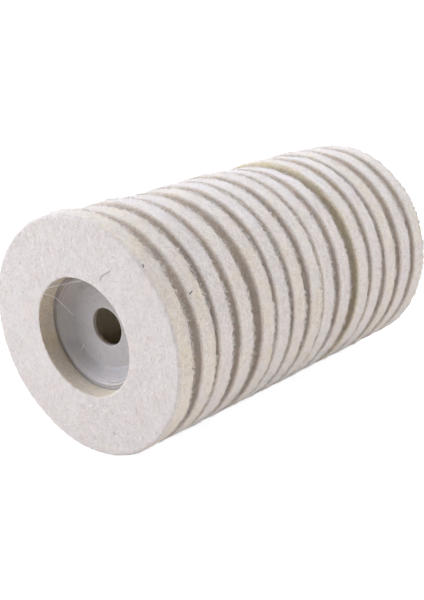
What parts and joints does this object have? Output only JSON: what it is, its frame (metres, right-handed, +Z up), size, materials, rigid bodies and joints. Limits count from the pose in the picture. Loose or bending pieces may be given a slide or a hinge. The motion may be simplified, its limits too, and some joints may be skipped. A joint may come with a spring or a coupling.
{
  "type": "felt polishing wheel stack",
  "caption": "Stack of felt polishing wheels lying on its side; each is a wool felt ring glued to a sunken plastic hub with a plain bore for a lapidary or polishing spindle.",
  "frame": {"origin": "on the table under the middle of the stack", "axes": "+Y along the stack from the front wheel to the rear one, +Z up, +X to the right seen from the front"},
  "size_m": [0.101, 0.1928, 0.1013],
  "materials": {
    "wool_felt": "compressed off-white wool felt, matt and slightly hairy",
    "hub_plastic": "natural nylon moulding, milky and satin",
    "glue": "thin cured contact glue"
  },
  "bodies": {
    "wheel_01": {"felt_ring_01": "wool_felt", "glue_layer_01": "glue", "hub_01": "hub_plastic"},
    "wheel_02": {"felt_ring_02": "wool_felt", "glue_layer_02": "glue", "hub_02": "hub_plastic"},
    "wheel_03": {"felt_ring_03": "wool_felt", "glue_layer_03": "glue", "hub_03": "hub_plastic"},
    "wheel_04": {"felt_ring_04": "wool_felt", "glue_layer_04": "glue", "hub_04": "hub_plastic"},
    "wheel_05": {"felt_ring_05": "wool_felt", "glue_layer_05": "glue", "hub_05": "hub_plastic"},
    "wheel_06": {"felt_ring_06": "wool_felt", "glue_layer_06": "glue", "hub_06": "hub_plastic"},
    "wheel_07": {"felt_ring_07": "wool_felt", "glue_layer_07": "glue", "hub_07": "hub_plastic"},
    "wheel_08": {"felt_ring_08": "wool_felt", "glue_layer_08": "glue", "hub_08": "hub_plastic"},
    "wheel_09": {"felt_ring_09": "wool_felt", "glue_layer_09": "glue", "hub_09": "hub_plastic"},
    "wheel_10": {"felt_ring_10": "wool_felt", "glue_layer_10": "glue", "hub_10": "hub_plastic"},
    "wheel_11": {"felt_ring_11": "wool_felt", "glue_layer_11": "glue", "hub_11": "hub_plastic"},
    "wheel_12": {"felt_ring_12": "wool_felt", "glue_layer_12": "glue", "hub_12": "hub_plastic"},
    "wheel_13": {"felt_ring_13": "wool_felt", "glue_layer_13": "glue", "hub_13": "hub_plastic"},
    "wheel_14": {"felt_ring_14": "wool_felt", "glue_layer_14": "glue", "hub_14": "hub_plastic"},
    "wheel_15": {"felt_ring_15": "wool_felt", "glue_layer_15": "glue", "hub_15": "hub_plastic"}
  },
  "joints": [
    {"name": "pull_01", "type": "slide", "parent": "wheel_02", "child": "wheel_01", "axis": [0, -1, 0], "range_m": [-0.003, 0.03]},
    {"name": "pull_02", "type": "slide", "parent": "wheel_03", "child": "wheel_02", "axis": [0, -1, 0], "range_m": [0, 0.03]},
    {"name": "pull_03", "type": "slide", "parent": "wheel_04", "child": "wheel_03", "axis": [0, -1, 0], "range_m": [-0.003, 0.03]},
    {"name": "pull_04", "type": "slide", "parent": "wheel_05", "child": "wheel_04", "axis": [0, -1, 0], "range_m": [-0.0035, 0.03]},
    {"name": "pull_05", "type": "slide", "parent": "wheel_06", "child": "wheel_05", "axis": [0, -1, 0], "range_m": [0, 0.03]},
    {"name": "pull_06", "type": "slide", "parent": "wheel_07", "child": "wheel_06", "axis": [0, -1, 0], "range_m": [-0.0005, 0.03]},
    {"name": "pull_07", "type": "slide", "parent": "wheel_08", "child": "wheel_07", "axis": [0, -1, 0], "range_m": [-0.001, 0.03]},
    {"name": "pull_08", "type": "slide", "parent": "wheel_09", "child": "wheel_08", "axis": [0, -1, 0], "range_m": [0, 0.03]},
    {"name": "pull_09", "type": "slide", "parent": "wheel_10", "child": "wheel_09", "axis": [0, -1, 0], "range_m": [-0.002, 0.03]},
    {"name": "pull_10", "type": "slide", "parent": "wheel_11", "child": "wheel_10", "axis": [0, -1, 0], "range_m": [-0.003, 0.03]},
    {"name": "pull_11", "type": "slide", "parent": "wheel_12", "child": "wheel_11", "axis": [0, -1, 0], "range_m": [-0.0005, 0.03]},
    {"name": "pull_12", "type": "slide", "parent": "wheel_13", "child": "wheel_12", "axis": [0, -1, 0], "range_m": [-0.001, 0.03]},
    {"name": "pull_13", "type": "slide", "parent": "wheel_14", "child": "wheel_13", "axis": [0, -1, 0], "range_m": [-0.0035, 0.03]},
    {"name": "pull_14", "type": "slide", "parent": "wheel_15", "child": "wheel_14", "axis": [0, -1, 0], "range_m": [-0.0035, 0.03]}
  ]
}
